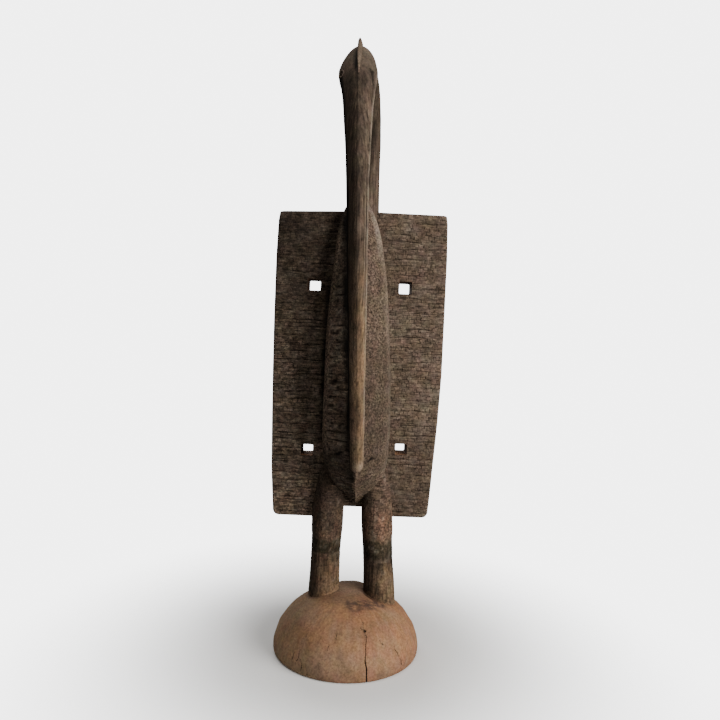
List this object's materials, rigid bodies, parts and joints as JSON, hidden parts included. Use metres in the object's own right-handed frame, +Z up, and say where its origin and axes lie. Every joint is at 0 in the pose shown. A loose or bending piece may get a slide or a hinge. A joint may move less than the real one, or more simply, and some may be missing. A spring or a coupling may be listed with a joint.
{
  "type": "senufo hornbill figure",
  "caption": "Standing hornbill carved from one block of wood, with a flat pierced wing board, a long bill resting on a keeled belly, round legs and a domed plinth.",
  "frame": {"origin": "middle of the domed plinth's flat underside", "axes": "+Z up along the figure's height, -Y towards the viewer, the way the bird faces, +X to the viewer's right"},
  "size_m": [0.3511, 0.3165, 1.201],
  "materials": {
    "carved_wood": "dry hand-adzed wood with dark patina on the bird and a paler, reddish bare plinth"
  },
  "bodies": {
    "root": {"hornbill_figure": "carved_wood"}
  },
  "joints": []
}
